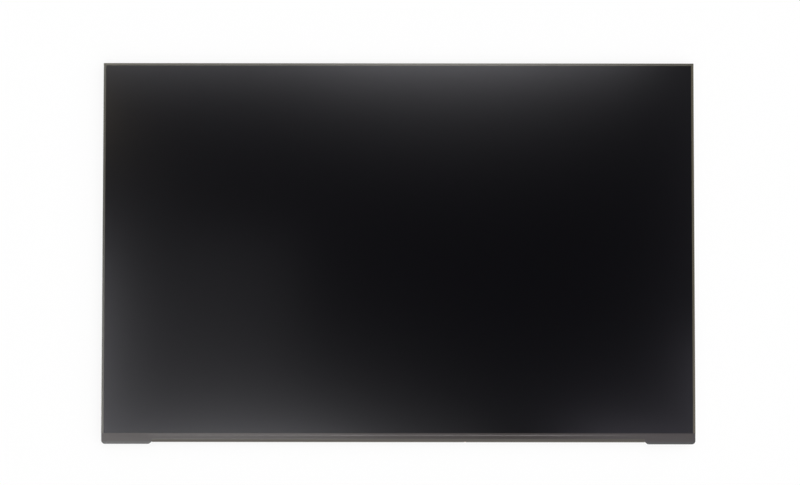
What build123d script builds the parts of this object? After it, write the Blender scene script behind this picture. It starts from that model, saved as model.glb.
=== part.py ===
from build123d import *
import os

# Bare display module of a portable computer, lying on its back with the screen up.
# X runs along the width, Y towards the top of the screen and Z out of the screen.
# The origin is on the lowest face, under the middle of the outline. Sizes are in millimetres.

# Picture and outline
active_width = 301.6
active_height = 188.5
polariser_side_margin = 1.1  # polariser past the picture, left and right
polariser_end_margin = 0.75  # polariser past the picture, top and bottom
rim_width = 1.4  # outline to polariser, left, right and top
strip_height = 5.05  # folded bottom edge to polariser
ear_drop = 0.75  # corner ears below the folded edge
ear_length = 26.0
ear_corner_radius = 1.9
ear_end_radius = 2.0
ear_round_share = 0.95  # most of an ear's depth that its corners may round
ear_clearance = 0.1  # ears to the back plate
frame_edge_radius = 0.2

# Layers, from the back to the front
board_thickness = 0.6
board_adhesive_thickness = 0.05
plate_thickness = 0.3
under_guide_thickness = 0.12  # reflector film and light bar flex, side by side
guide_thickness = 0.5
diffuser_thickness = 0.1
prism_thickness = 0.12
shield_thickness = 0.06
rear_polariser_thickness = 0.12
array_thickness = 0.2
filter_thickness = 0.2
front_polariser_thickness = 0.16

# Tapes
edge_tape_thickness = 0.05
edge_tape_rear_width = 4.0
cover_tape_thickness = 0.07
tape_gap = 0.1  # tapes to the front polariser
wrap_gap = 0.02  # cover tape to driver films and light bar tail
strip_end_margin = 0.3  # cover tape's front ends to the frame's sides
ear_show = 1.4  # width of ear left bare below the cover tape
strip_slope_run = 0.25  # cover tape down from the glass to the driver films
cover_slope_run = 1.0  # cover tape round the board parts
cover_margin = 0.4  # cover tape past the board before it rises
cover_flange = 2.0  # cover tape stuck to the back plate

# Cell
glass_margin = 0.6  # glass past the polariser, left, right and top
glass_clearance = 0.2  # glass to the frame walls
glass_band = 1.1  # colour filter glass below the polariser
film_lead = 0.15  # array glass edge to the start of the fold
film_bond_gap = 0.25  # driver films to the colour filter glass

# Driver films and chips
film_count = 4
film_width = 40.0
film_board_width = 34.0  # narrowed end on the board
film_thickness = 0.08
film_bond = 1.8  # overlap on the board
film_shoulder = 2.5  # length over which a film narrows
driver_chip_length = 24.0
driver_chip_width = 1.4
driver_chip_thickness = 0.35
driver_chip_setback = 3.0  # chip's edge from the start of the fold

# Backlight
sheet_margin = 1.05  # sheets past the picture, left, right and top
sheet_clearance = 0.15
tab_length = 6.0
tab_depth = 0.4
tab_spacing = 110.0
guide_lead = 1.85  # light guide below the picture
sheet_setback = 0.3  # films above the guide's lit edge
shield_margin = 0.25  # shield tape outside the picture
shield_setback = 0.05  # shield tape inside the glass edge
led_count = 48
led_length = 3.0
led_depth = 0.6
led_height = 0.42
led_gap = 0.1  # to the guide in front and the frame behind
led_end_margin = 3.0  # picture edge to the outermost diode's pitch
led_window_length = 2.4
led_window_height = 0.28
led_window_depth = 0.12
flex_overlap = 2.5  # light bar flex under the guide
flex_gap = 0.05
reflector_gap = 0.1
tail_width = 8.0
tail_gap = 2.0  # tail to the films and the fold's end
tail_clearance = 0.2

# Frame and back plate
lip_width = 0.9  # frame lip under the array glass ledge
lip_gap = 0.1  # lip to the shield tape
flange_height = 1.0
flange_clearance = 0.02
plate_bend_radius = 0.4
plate_relief = 0.9  # notch between neighbouring flanges
snap_length = 5.0
snap_height = 0.3
snap_depth = 0.2
snap_clearance = 0.04
snap_rise = 0.7  # snaps above the plate's rear face
snap_side_count = 4
snap_side_pitch = 46.0
snap_top_count = 5
snap_top_pitch = 60.0

# Driver board
board_setback = 7.0  # board's lower edge from the start of the fold
board_height = 12.0
board_end_gap = 1.0  # board's ends to the fold's ends
board_corner = 0.8
adhesive_margin = 0.5
parts_gap = 1.2  # board parts to the driver films
cover_gap = 0.05  # tallest board part to the cover tape
chip_edge = 0.08
timing_chip_size = 6.0
timing_chip_height = 0.8
timing_chip_place = 4.0
power_chip_size = 4.0
power_chip_height = 0.75
power_chip_place = -38.0
backlight_chip_size = 3.5
backlight_chip_height = 0.75
backlight_chip_place = 70.0
memory_chip_length = 3.0
memory_chip_width = 2.0
memory_chip_height = 0.55
memory_chip_place = -14.0
inductor_size = 4.0
inductor_height = 0.95
inductor_corner = 0.7
inductor_places = (-50.0, 40.0, 86.0)
capacitor_length = 1.6
capacitor_width = 0.8
capacitor_height = 0.8
capacitor_pitch = 11.0
capacitor_row_gap = 0.3  # capacitor rows to the parts zone's edges
lower_row_count = 19
upper_row_count = 13
upper_row_place = 31.0  # middle of the upper row, clear of the socket

# Display socket on the board
socket_place = -84.0
socket_length = 20.0
socket_depth = 4.0
socket_height = 0.95
socket_floor = 0.2
socket_mouth_width = 17.6
socket_mouth_depth = 2.8
socket_setback = 0.2  # mouth from the board's upper edge
socket_window = 1.0  # cover tape cut back round the socket
shell_thickness = 0.12
latch_window_length = 3.0
latch_window_width = 0.8
contact_count = 30
contact_pitch = 0.5
contact_width = 0.22
contact_thickness = 0.12
contact_clearance = 0.02
contact_front_gap = 0.5
contact_tail = 0.7  # solder tails behind the housing

# Outline worked out from the picture
half_width = active_width / 2 + polariser_side_margin + rim_width
polariser_width = active_width + 2 * polariser_side_margin
polariser_height = active_height + 2 * polariser_end_margin
outline_height = rim_width + polariser_height + strip_height + ear_drop
outline_top = outline_height / 2
ear_bottom = -outline_height / 2
fold_edge = ear_bottom + ear_drop
polariser_bottom = fold_edge + strip_height
polariser_top = outline_top - rim_width
active_bottom = polariser_bottom + polariser_end_margin
active_top = polariser_top - polariser_end_margin
body_half_width = half_width - edge_tape_thickness
body_top = outline_top - edge_tape_thickness

# Levels worked out from the layers
chip_heights = (timing_chip_height, power_chip_height, backlight_chip_height, memory_chip_height)
part_room = max(socket_height, inductor_height, capacitor_height, *chip_heights) + cover_gap
cover_level = cover_tape_thickness
board_rear = cover_level + part_room
board_front = board_rear + board_thickness
plate_rear = board_front + board_adhesive_thickness
plate_front = plate_rear + plate_thickness
guide_level = plate_front + under_guide_thickness
diffuser_level = guide_level + guide_thickness
lower_prism_level = diffuser_level + diffuser_thickness
upper_prism_level = lower_prism_level + prism_thickness
shield_level = upper_prism_level + prism_thickness
cell_level = shield_level + shield_thickness
array_level = cell_level + rear_polariser_thickness
filter_level = array_level + array_thickness
screen_level = filter_level + filter_thickness

# Fold round the bottom edge
film_radius = (filter_level - board_rear) / 2
wrap_radius = film_radius + max(film_thickness, under_guide_thickness) + wrap_gap
fold_start = fold_edge + wrap_radius + cover_tape_thickness
fold_level = board_rear + film_radius
fold_half_width = half_width - ear_length - tape_gap
array_bottom = fold_start + film_lead
filter_bottom = polariser_bottom - glass_band
glass_width = polariser_width + 2 * glass_margin
glass_top = polariser_top + glass_margin
tail_place = fold_half_width - tail_gap - tail_width / 2
film_pitch = 2 * (fold_half_width - tail_width - 2 * tail_gap) / film_count

# Backlight places
sheet_width = active_width + 2 * sheet_margin
sheet_top = active_top + sheet_margin
guide_bottom = active_bottom - guide_lead
led_front = guide_bottom - led_gap
led_back = led_front - led_depth
rail_top = led_back - led_gap
flex_bottom = rail_top + flex_gap
flex_top = guide_bottom + flex_overlap
led_pitch = (active_width - 2 * led_end_margin) / led_count
flex_length = active_width - led_end_margin

# Board places
board_half_length = fold_half_width - board_end_gap
board_bottom = fold_start + board_setback
board_top = board_bottom + board_height
film_end = board_bottom + film_bond
parts_bottom = film_end + parts_gap
parts_middle = (parts_bottom + board_top) / 2
socket_front = board_top - socket_setback
socket_middle = socket_front - socket_depth / 2
lower_row = parts_bottom + capacitor_row_gap + capacitor_width / 2
upper_row = board_top - capacitor_row_gap - capacitor_width / 2

# Snap places
snap_level = plate_rear + snap_rise
snap_middle = (array_bottom + body_top) / 2
rebate_half_width = body_half_width - plate_thickness - flange_clearance
rebate_top = body_top - plate_thickness - flange_clearance

os.makedirs("parts", exist_ok=True)


# Rectangle centred on the width, between two heights on the screen
def plan(level, width, bottom, top):
    with BuildSketch(Plane.XY.offset(level)) as sketch:
        with Locations((0, (bottom + top) / 2)):
            Rectangle(width, top - bottom)
    return sketch.sketch


# Backlight sheet with locating tabs, grown by a clearance for the opening that takes it
def sheet_plan(level, bottom, clearance=0):
    with BuildSketch(Plane.XY.offset(level)) as sketch:
        with Locations((0, (bottom + sheet_top + clearance) / 2)):
            Rectangle(sheet_width + 2 * clearance, sheet_top + clearance - bottom)
        with GridLocations(sheet_width, tab_spacing, 2, 2):
            Rectangle(2 * (tab_depth + clearance), tab_length + 2 * clearance)
    return sketch.sketch


# Both corner ears, up to a given root
def ear_plan(level, root):
    ear_width = ear_length - edge_tape_thickness
    most_radius = ear_round_share * (root - ear_bottom)
    corner_radius = min(ear_corner_radius, most_radius)
    end_radius = min(ear_end_radius, most_radius)
    with BuildSketch(Plane.XY.offset(level)) as sketch:
        with Locations((0, (ear_bottom + root) / 2)):
            with GridLocations(2 * body_half_width - ear_width, 0, 2, 1):
                Rectangle(ear_width, root - ear_bottom)
        lower_corners = sketch.vertices().group_by(Axis.Y)[0].sort_by(Axis.X)
        fillet([lower_corners[0], lower_corners[3]], radius=corner_radius)
        lower_corners = sketch.vertices().group_by(Axis.Y)[0].sort_by(Axis.X)
        fillet(lower_corners[1:3], radius=end_radius)
    return sketch.sketch


# Section of a thin sheet folded half round, from its front run to its rear run.
# The points lie on the sheet's inner face, as places along Y and levels along Z.
def folded_section(front_run, rear_run, thickness):
    start = front_run[-1]
    end = rear_run[0]
    middle_level = (start[1] + end[1]) / 2
    radius = (start[1] - end[1]) / 2
    with BuildSketch() as sketch:
        with BuildLine() as path:
            Polyline(*front_run)
            ThreePointArc(start, (start[0] - radius, middle_level), end)
            Polyline(*rear_run)
            offset(path.line, amount=thickness, side=Side.RIGHT)
        make_face()
    return Plane.YZ * sketch.sketch


# Section of an edge tape round the frame's front edge and the back plate's fold
def edge_tape_section(plane, front_end, side, rear_end):
    corners = ((front_end, screen_level), (side, screen_level), (side, plate_rear), (rear_end, plate_rear))
    with BuildSketch() as sketch:
        with BuildLine() as path:
            FilletPolyline(*corners, radius=[frame_edge_radius, plate_bend_radius])
            offset(path.line, amount=edge_tape_thickness, side=Side.LEFT)
        make_face()
    return plane * sketch.sketch


# Chip package on the board's rear face, with its outer edges broken
def chip_package(place, length, width, height):
    with BuildPart() as package:
        with BuildSketch(Plane.XY.offset(board_rear)):
            with Locations((place, parts_middle)):
                Rectangle(length, width)
        extrude(amount=-height)
        chamfer(package.faces().sort_by(Axis.Z)[0].edges(), length=chip_edge)
    return package.part


# Cell: two polarisers and two glasses
with BuildPart() as front_polariser:
    extrude(plan(screen_level, polariser_width, polariser_bottom, polariser_top), amount=front_polariser_thickness)
front_polariser.part.label = "front_polariser"
export_step(front_polariser.part, "parts/front_polariser.step")

with BuildPart() as colour_filter_glass:
    extrude(plan(filter_level, glass_width, filter_bottom, glass_top), amount=filter_thickness)
colour_filter_glass.part.label = "colour_filter_glass"
export_step(colour_filter_glass.part, "parts/colour_filter_glass.step")

with BuildPart() as array_glass:
    extrude(plan(array_level, glass_width, array_bottom, glass_top), amount=array_thickness)
array_glass.part.label = "array_glass"
export_step(array_glass.part, "parts/array_glass.step")

with BuildPart() as rear_polariser:
    extrude(plan(cell_level, polariser_width, polariser_bottom, polariser_top), amount=rear_polariser_thickness)
rear_polariser.part.label = "rear_polariser"
export_step(rear_polariser.part, "parts/rear_polariser.step")

# Shield tape: a frame between the backlight and the cell
with BuildPart() as shield_tape:
    shield_width = glass_width - 2 * shield_setback
    shield_bottom = array_bottom + lip_width + lip_gap
    extrude(plan(shield_level, shield_width, shield_bottom, glass_top - shield_setback), amount=shield_thickness)
    window_width = active_width + 2 * shield_margin
    window = plan(shield_level, window_width, active_bottom - shield_margin, active_top + shield_margin)
    extrude(window, amount=shield_thickness, mode=Mode.SUBTRACT)
shield_tape.part.label = "shield_tape"
export_step(shield_tape.part, "parts/shield_tape.step")

# Backlight sheets, from the front to the back
with BuildPart() as upper_prism_film:
    extrude(sheet_plan(upper_prism_level, guide_bottom + sheet_setback), amount=prism_thickness)
upper_prism_film.part.label = "upper_prism_film"
export_step(upper_prism_film.part, "parts/upper_prism_film.step")

with BuildPart() as lower_prism_film:
    extrude(sheet_plan(lower_prism_level, guide_bottom + sheet_setback), amount=prism_thickness)
lower_prism_film.part.label = "lower_prism_film"
export_step(lower_prism_film.part, "parts/lower_prism_film.step")

with BuildPart() as diffuser_film:
    extrude(sheet_plan(diffuser_level, guide_bottom + sheet_setback), amount=diffuser_thickness)
diffuser_film.part.label = "diffuser_film"
export_step(diffuser_film.part, "parts/diffuser_film.step")

with BuildPart() as light_guide:
    extrude(sheet_plan(guide_level, guide_bottom), amount=guide_thickness)
light_guide.part.label = "light_guide"
export_step(light_guide.part, "parts/light_guide.step")

with BuildPart() as reflector_film:
    extrude(sheet_plan(plate_front, flex_top + reflector_gap), amount=under_guide_thickness)
reflector_film.part.label = "reflector_film"
export_step(reflector_film.part, "parts/reflector_film.step")

# Light bar: flex strip under the guide's lit edge, with a tail folded round to the board
with BuildPart() as light_bar_flex:
    extrude(plan(plate_front, flex_length, flex_bottom, flex_top), amount=under_guide_thickness)
    tail_front = ((flex_bottom, plate_front), (fold_start, plate_front))
    tail_rear = ((fold_start, board_rear), (film_end, board_rear))
    tail_section = folded_section(tail_front, tail_rear, under_guide_thickness)
    extrude(Pos(X=tail_place - tail_width / 2) * tail_section, amount=tail_width)
light_bar_flex.part.label = "light_bar_flex"
export_step(light_bar_flex.part, "parts/light_bar_flex.step")

with BuildPart() as diodes:
    with BuildSketch(Plane.XY.offset(guide_level)):
        with Locations((0, (led_back + led_front) / 2)):
            with GridLocations(led_pitch, 0, led_count, 1):
                Rectangle(led_length, led_depth)
    extrude(amount=led_height)
    with BuildSketch(Plane.XZ.offset(-led_front)):
        with Locations((0, guide_level + led_height / 2)):
            with GridLocations(led_pitch, 0, led_count, 1):
                Rectangle(led_window_length, led_window_height)
    extrude(amount=led_window_depth, mode=Mode.SUBTRACT)
diodes.part.label = "diodes"
export_step(diodes.part, "parts/diodes.step")

# Mould frame: walls round the sheets and the cell, a rail behind the diodes and two corner ears
with BuildPart() as mould_frame:
    wall_height = screen_level - plate_front
    extrude(plan(plate_front, 2 * body_half_width, array_bottom, body_top), amount=wall_height)
    extrude(ear_plan(plate_front, array_bottom), amount=wall_height)
    extrude(ear_plan(plate_rear, array_bottom - ear_clearance), amount=plate_thickness)
    fillet(mould_frame.faces().sort_by(Axis.Z)[-1].edges(), radius=frame_edge_radius)
    # Recess for the cell, and the lip under the driver ledge
    recess_width = glass_width + 2 * glass_clearance
    recess = plan(shield_level, recess_width, array_bottom - glass_clearance, glass_top + glass_clearance)
    extrude(recess, amount=screen_level - shield_level, mode=Mode.SUBTRACT)
    lip = plan(shield_level, glass_width, array_bottom, array_bottom + lip_width)
    extrude(lip, amount=array_level - shield_level)
    # Opening for the sheets, with notches for their tabs
    opening = sheet_plan(plate_front, rail_top, sheet_clearance)
    extrude(opening, amount=shield_level - plate_front, mode=Mode.SUBTRACT)
    # Rebate for the back plate's flanges
    with BuildSketch(Plane.XY.offset(plate_front)):
        add(plan(0, 2 * half_width, array_bottom - ear_clearance, outline_top))
        add(plan(0, 2 * rebate_half_width, fold_edge, rebate_top), mode=Mode.SUBTRACT)
    extrude(amount=plate_rear + flange_height + flange_clearance - plate_front, mode=Mode.SUBTRACT)
    # Snaps that catch in the flanges
    with Locations((0, snap_middle, snap_level)):
        with GridLocations(2 * rebate_half_width, snap_side_pitch, 2, snap_side_count):
            Box(2 * snap_depth, snap_length, snap_height)
    with Locations((0, rebate_top, snap_level)):
        with GridLocations(snap_top_pitch, 0, snap_top_count, 1):
            Box(snap_length, 2 * snap_depth, snap_height)
    # Notch for the light bar's tail
    with BuildSketch(Plane.XY.offset(plate_front)):
        with Locations((tail_place, (array_bottom + rail_top) / 2)):
            Rectangle(tail_width + 2 * tail_clearance, rail_top - array_bottom)
    extrude(amount=under_guide_thickness + tail_clearance, mode=Mode.SUBTRACT)
mould_frame.part.label = "mould_frame"
export_step(mould_frame.part, "parts/mould_frame.step")

# Back plate: thin sheet with flanges folded up on three sides
with BuildPart() as back_plate:
    extrude(plan(plate_rear, 2 * body_half_width, array_bottom, body_top), amount=flange_height)
    fillet(back_plate.faces().sort_by(Axis.Z)[0].edges().sort_by(Axis.Y)[1:], radius=plate_bend_radius)
    inside_width = 2 * (body_half_width - plate_thickness)
    inside = plan(plate_front, inside_width, fold_edge, body_top - plate_thickness)
    extrude(inside, amount=flange_height, mode=Mode.SUBTRACT)
    # Notches where neighbouring flanges would meet
    with BuildSketch(Plane.XY.offset(plate_rear)):
        with Locations((0, body_top)):
            with GridLocations(2 * body_half_width, 0, 2, 1):
                Rectangle(2 * plate_relief, 2 * plate_relief)
    extrude(amount=flange_height, mode=Mode.SUBTRACT)
    # Windows for the frame's snaps
    window_length = snap_length + 2 * snap_clearance
    window_height = snap_height + 2 * snap_clearance
    window_reach = 2 * (plate_thickness + snap_clearance)
    with Locations((0, snap_middle, snap_level)):
        with GridLocations(2 * body_half_width, snap_side_pitch, 2, snap_side_count):
            Box(window_reach, window_length, window_height, mode=Mode.SUBTRACT)
    with Locations((0, body_top, snap_level)):
        with GridLocations(snap_top_pitch, 0, snap_top_count, 1):
            Box(window_length, window_reach, window_height, mode=Mode.SUBTRACT)
back_plate.part.label = "back_plate"
export_step(back_plate.part, "parts/back_plate.step")

# Driver films folded from the glass ledge round the bottom edge, each with its chip inside the fold
film_front = ((filter_bottom - film_bond_gap, filter_level), (fold_start, filter_level))
film_rear = ((fold_start, board_rear), (film_end, board_rear))
film_section = folded_section(film_front, film_rear, film_thickness)
shoulder_end = board_bottom - film_bond / 2
shoulder_start = shoulder_end - film_shoulder
chip_middle = fold_start + driver_chip_setback + driver_chip_width / 2
for index in range(film_count):
    place = (index - (film_count - 1) / 2) * film_pitch

    with BuildPart() as driver_film:
        extrude(Pos(X=place - film_width / 2) * film_section, amount=film_width)
        with BuildSketch(Plane((place, 0, board_rear))):
            with BuildLine():
                Polyline(
                    (film_width / 2, shoulder_start),
                    (film_width / 2, film_end),
                    (film_board_width / 2, film_end),
                    (film_board_width / 2, shoulder_end),
                    close=True,
                )
            make_face()
            mirror(about=Plane.YZ)
        extrude(amount=-film_thickness, mode=Mode.SUBTRACT)
    driver_film.part.label = f"driver_film_{index + 1}"
    export_step(driver_film.part, f"parts/driver_film_{index + 1}.step")

    with BuildPart() as driver_chip:
        with BuildSketch(Plane.XY.offset(board_rear)):
            with Locations((place, chip_middle)):
                Rectangle(driver_chip_length, driver_chip_width)
        extrude(amount=driver_chip_thickness)
    driver_chip.part.label = f"driver_chip_{index + 1}"
    export_step(driver_chip.part, f"parts/driver_chip_{index + 1}.step")

# Driver board, stuck to the back plate
with BuildPart() as driver_board:
    extrude(plan(board_rear, 2 * board_half_length, board_bottom, board_top), amount=board_thickness)
    chamfer(driver_board.edges().filter_by(Axis.Z), length=board_corner)
driver_board.part.label = "driver_board"
export_step(driver_board.part, "parts/driver_board.step")

with BuildPart() as board_adhesive:
    adhesive_length = 2 * (board_half_length - adhesive_margin)
    adhesive = plan(board_front, adhesive_length, board_bottom + adhesive_margin, board_top - adhesive_margin)
    extrude(adhesive, amount=board_adhesive_thickness)
board_adhesive.part.label = "board_adhesive"
export_step(board_adhesive.part, "parts/board_adhesive.step")

# Chips on the board
with BuildPart() as timing_chip:
    add(chip_package(timing_chip_place, timing_chip_size, timing_chip_size, timing_chip_height))
timing_chip.part.label = "timing_chip"
export_step(timing_chip.part, "parts/timing_chip.step")

with BuildPart() as power_chip:
    add(chip_package(power_chip_place, power_chip_size, power_chip_size, power_chip_height))
power_chip.part.label = "power_chip"
export_step(power_chip.part, "parts/power_chip.step")

with BuildPart() as backlight_chip:
    add(chip_package(backlight_chip_place, backlight_chip_size, backlight_chip_size, backlight_chip_height))
backlight_chip.part.label = "backlight_chip"
export_step(backlight_chip.part, "parts/backlight_chip.step")

with BuildPart() as memory_chip:
    add(chip_package(memory_chip_place, memory_chip_length, memory_chip_width, memory_chip_height))
memory_chip.part.label = "memory_chip"
export_step(memory_chip.part, "parts/memory_chip.step")

with BuildPart() as inductors:
    with BuildSketch(Plane.XY.offset(board_rear)) as inductor_plan:
        with Locations([(place, parts_middle) for place in inductor_places]):
            Rectangle(inductor_size, inductor_size)
        chamfer(inductor_plan.vertices(), length=inductor_corner)
    extrude(amount=-inductor_height)
inductors.part.label = "inductors"
export_step(inductors.part, "parts/inductors.step")

with BuildPart() as capacitors:
    with BuildSketch(Plane.XY.offset(board_rear)):
        with Locations((0, lower_row)):
            with GridLocations(capacitor_pitch, 0, lower_row_count, 1):
                Rectangle(capacitor_length, capacitor_width)
        with Locations((upper_row_place, upper_row)):
            with GridLocations(capacitor_pitch, 0, upper_row_count, 1):
                Rectangle(capacitor_length, capacitor_width)
    extrude(amount=-capacitor_height)
capacitors.part.label = "capacitors"
export_step(capacitors.part, "parts/capacitors.step")

# Display socket: housing open towards the top of the screen, shell over it and a row of contacts
socket_plane = Plane((socket_place, socket_middle, board_rear))
housing_height = socket_height - shell_thickness
contact_length = socket_depth - contact_front_gap + contact_tail
contact_middle = -(contact_front_gap + contact_tail) / 2
with BuildPart() as socket_housing:
    with BuildSketch(socket_plane):
        Rectangle(socket_length, socket_depth)
    extrude(amount=-housing_height)
    with BuildSketch(socket_plane.offset(-socket_floor)):
        with Locations((0, (socket_depth - socket_mouth_depth) / 2)):
            Rectangle(socket_mouth_width, socket_mouth_depth)
    extrude(amount=-housing_height, mode=Mode.SUBTRACT)
    with BuildSketch(socket_plane):
        with Locations((0, contact_middle)):
            with GridLocations(contact_pitch, 0, contact_count, 1):
                Rectangle(contact_width + 2 * contact_clearance, contact_length)
    extrude(amount=-socket_floor, mode=Mode.SUBTRACT)
socket_housing.part.label = "socket_housing"
export_step(socket_housing.part, "parts/socket_housing.step")

with BuildPart() as socket_contacts:
    with BuildSketch(socket_plane):
        with Locations((0, contact_middle)):
            with GridLocations(contact_pitch, 0, contact_count, 1):
                Rectangle(contact_width, contact_length)
    extrude(amount=-contact_thickness)
socket_contacts.part.label = "socket_contacts"
export_step(socket_contacts.part, "parts/socket_contacts.step")

with BuildPart() as socket_shell:
    with BuildSketch(socket_plane):
        Rectangle(socket_length + 2 * shell_thickness, socket_depth)
    extrude(amount=-socket_height)
    with BuildSketch(socket_plane):
        Rectangle(socket_length, socket_depth)
    extrude(amount=-housing_height, mode=Mode.SUBTRACT)
    with BuildSketch(socket_plane.offset(-socket_height)):
        with Locations((0, (socket_depth - socket_mouth_depth) / 2)):
            with GridLocations(socket_length / 2, 0, 2, 1):
                Rectangle(latch_window_length, latch_window_width)
    extrude(amount=shell_thickness, mode=Mode.SUBTRACT)
socket_shell.part.label = "socket_shell"
export_step(socket_shell.part, "parts/socket_shell.step")

# Cover tape: grey strip below the screen, folded round the bottom edge and over the board
strip_top = polariser_bottom - tape_gap
wrap_front = fold_level + wrap_radius
wrap_rear = fold_level - wrap_radius
rise_end = board_top + cover_margin + cover_slope_run
cover_front = (
    (strip_top, screen_level),
    (filter_bottom, screen_level),
    (filter_bottom - strip_slope_run, wrap_front),
    (fold_start, wrap_front),
)
cover_rear = (
    (fold_start, wrap_rear),
    (parts_bottom - cover_slope_run, wrap_rear),
    (parts_bottom, cover_level),
    (board_top + cover_margin, cover_level),
    (rise_end, plate_rear),
    (rise_end + cover_flange, plate_rear),
)
with BuildPart() as cover_tape:
    cover_section = folded_section(cover_front, cover_rear, cover_tape_thickness)
    extrude(Pos(X=-fold_half_width) * cover_section, amount=2 * fold_half_width)
    # Flat ends of the strip, over the corner ears
    strip_end_width = 2 * (body_half_width - strip_end_margin)
    with BuildSketch(Plane.XY.offset(screen_level)):
        add(plan(0, strip_end_width, ear_bottom + ear_show, strip_top))
        add(plan(0, 2 * fold_half_width, ear_bottom, strip_top), mode=Mode.SUBTRACT)
    extrude(amount=cover_tape_thickness)
    # Window round the display socket, open towards the plug's side
    window_bottom = socket_middle - socket_depth / 2 - contact_tail - socket_window
    window_top = rise_end + cover_flange
    with BuildSketch():
        with Locations((socket_place, (window_bottom + window_top) / 2)):
            Rectangle(socket_length + 2 * socket_window, window_top - window_bottom)
    extrude(amount=plate_rear, mode=Mode.SUBTRACT)
cover_tape.part.label = "cover_tape"
export_step(cover_tape.part, "parts/cover_tape.step")

# Edge tapes: wrapped from the front glass round the sides to the back plate
flap_end = half_width - rim_width + tape_gap
top_flap_end = outline_top - rim_width + tape_gap
with BuildPart() as right_edge_tape:
    side_section = edge_tape_section(Plane.XZ, flap_end, body_half_width, half_width - edge_tape_rear_width)
    extrude(Pos(Y=outline_top) * side_section, amount=outline_top - strip_top)
    # The flaps stop short of the top tape
    front_room = plan(fold_level, 2 * body_half_width, top_flap_end, outline_top)
    extrude(front_room, amount=screen_level, mode=Mode.SUBTRACT)
    rear_room = plan(0, 2 * body_half_width, outline_top - edge_tape_rear_width, outline_top)
    extrude(rear_room, amount=fold_level, mode=Mode.SUBTRACT)
right_edge_tape.part.label = "right_edge_tape"
export_step(right_edge_tape.part, "parts/right_edge_tape.step")

with BuildPart() as left_edge_tape:
    mirror(right_edge_tape.part, about=Plane.YZ)
left_edge_tape.part.label = "left_edge_tape"
export_step(left_edge_tape.part, "parts/left_edge_tape.step")

with BuildPart() as top_edge_tape:
    top_section = edge_tape_section(Plane.YZ, top_flap_end, body_top, outline_top - edge_tape_rear_width)
    extrude(Pos(X=-body_half_width) * top_section, amount=2 * body_half_width)
top_edge_tape.part.label = "top_edge_tape"
export_step(top_edge_tape.part, "parts/top_edge_tape.step")
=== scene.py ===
"""Looks of a bare laptop screen panel: its finishes, its fine pieces and the table that it lies on."""

import math
from functools import partial
from typing import NamedTuple

import bmesh
import bpy
from mathutils import Matrix, Vector


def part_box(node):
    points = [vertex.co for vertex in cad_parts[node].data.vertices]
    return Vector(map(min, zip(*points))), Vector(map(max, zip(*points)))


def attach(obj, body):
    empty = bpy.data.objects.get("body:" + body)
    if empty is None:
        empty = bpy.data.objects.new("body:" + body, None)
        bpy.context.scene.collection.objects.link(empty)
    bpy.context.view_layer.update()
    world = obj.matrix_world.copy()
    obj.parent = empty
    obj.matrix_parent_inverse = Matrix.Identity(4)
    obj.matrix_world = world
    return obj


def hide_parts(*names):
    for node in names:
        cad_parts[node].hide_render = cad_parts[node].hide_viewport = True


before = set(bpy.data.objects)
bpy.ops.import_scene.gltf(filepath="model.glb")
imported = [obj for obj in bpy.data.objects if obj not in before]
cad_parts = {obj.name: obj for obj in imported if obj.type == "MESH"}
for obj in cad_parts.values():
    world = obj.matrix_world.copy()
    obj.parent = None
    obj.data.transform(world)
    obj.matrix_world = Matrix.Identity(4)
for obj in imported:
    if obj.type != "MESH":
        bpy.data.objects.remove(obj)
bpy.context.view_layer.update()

bl_info = {
    "name": "Laptop screen panel",
    "version": (1, 0, 0),
    "blender": (4, 5, 0),
    "location": "3D View > Sidebar > Screen panel",
    "description": "Finishes and fine pieces of a bare laptop screen panel",
    "category": "Object",
}

BODY = "root"
MM = 0.001
MERGE_GAP = 0.001 * MM
SHARP_ANGLE = math.radians(40)

# Nodes of each finish, from the screen to the back
OPTICAL_FILMS = ("upper_prism_film", "lower_prism_film", "diffuser_film")
DRIVER_FILMS = tuple(f"driver_film_{index}" for index in range(1, 5))
DRIVER_CHIPS = tuple(f"driver_chip_{index}" for index in range(1, 5))
BOARD_CHIPS = ("timing_chip", "power_chip", "backlight_chip", "memory_chip")

# Cover tape, where the solids round it don't give a place
TAPE_GAP = 0.1 * MM
STRIP_SLOPE = 0.25 * MM
STRIP_BEND = 0.04 * MM
FOLD_BLEND = 0.9 * MM
# Width of the painted highlight along the fold's outermost edge
CREST_HIGHLIGHT_WIDTH = 0.8 * MM
FOLD_DROP = 0.08 * MM
EAR_SHOW = 1.4 * MM
PARTS_GAP = 1.2 * MM
COVER_MARGIN = 0.4 * MM
COVER_SLOPE = 1.0 * MM
COVER_FLANGE = 2.0 * MM
SOCKET_WINDOW = 1.0 * MM
TAPE_STEP = 1.2 * MM
TAPE_LINE_GAP = 0.2 * MM
PART_CLEARANCE = 0.02 * MM

# Counts of rows and columns in the cover tape's sheet
STRIP_STEPS = 3
FOLD_STEPS = 28
REAR_STEPS = 6
SLOPE_STEPS = 5
PARTS_STEPS = 5
WINDOW_STEPS = 10
FLANGE_STEPS = 2
EAR_ROWS = 5
EAR_COLUMNS = 10

# Marks that the panel carries: two dust specks and a nick in the folded edge
SPECKS = ((-145.3 * MM, -11.5 * MM), (6.2 * MM, -27.9 * MM))
NICK_PLACE = 34.5 * MM
NICK_WIDTH = 0.35 * MM
NICK_STEPS = (-2, -1, -0.5, 0, 0.5, 1, 2)

# Socket, where the solids don't give a place
SOCKET_BACK_WALL = 1.2 * MM
SPRING_STEPS = 14
SPRING_CREST = 0.45
SPRING_FALL = 0.6

# Fineness of the small repeated pieces
DROP_SEGMENTS = 10
DROP_RINGS = 6
EDGE_SEGMENTS = 2

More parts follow.
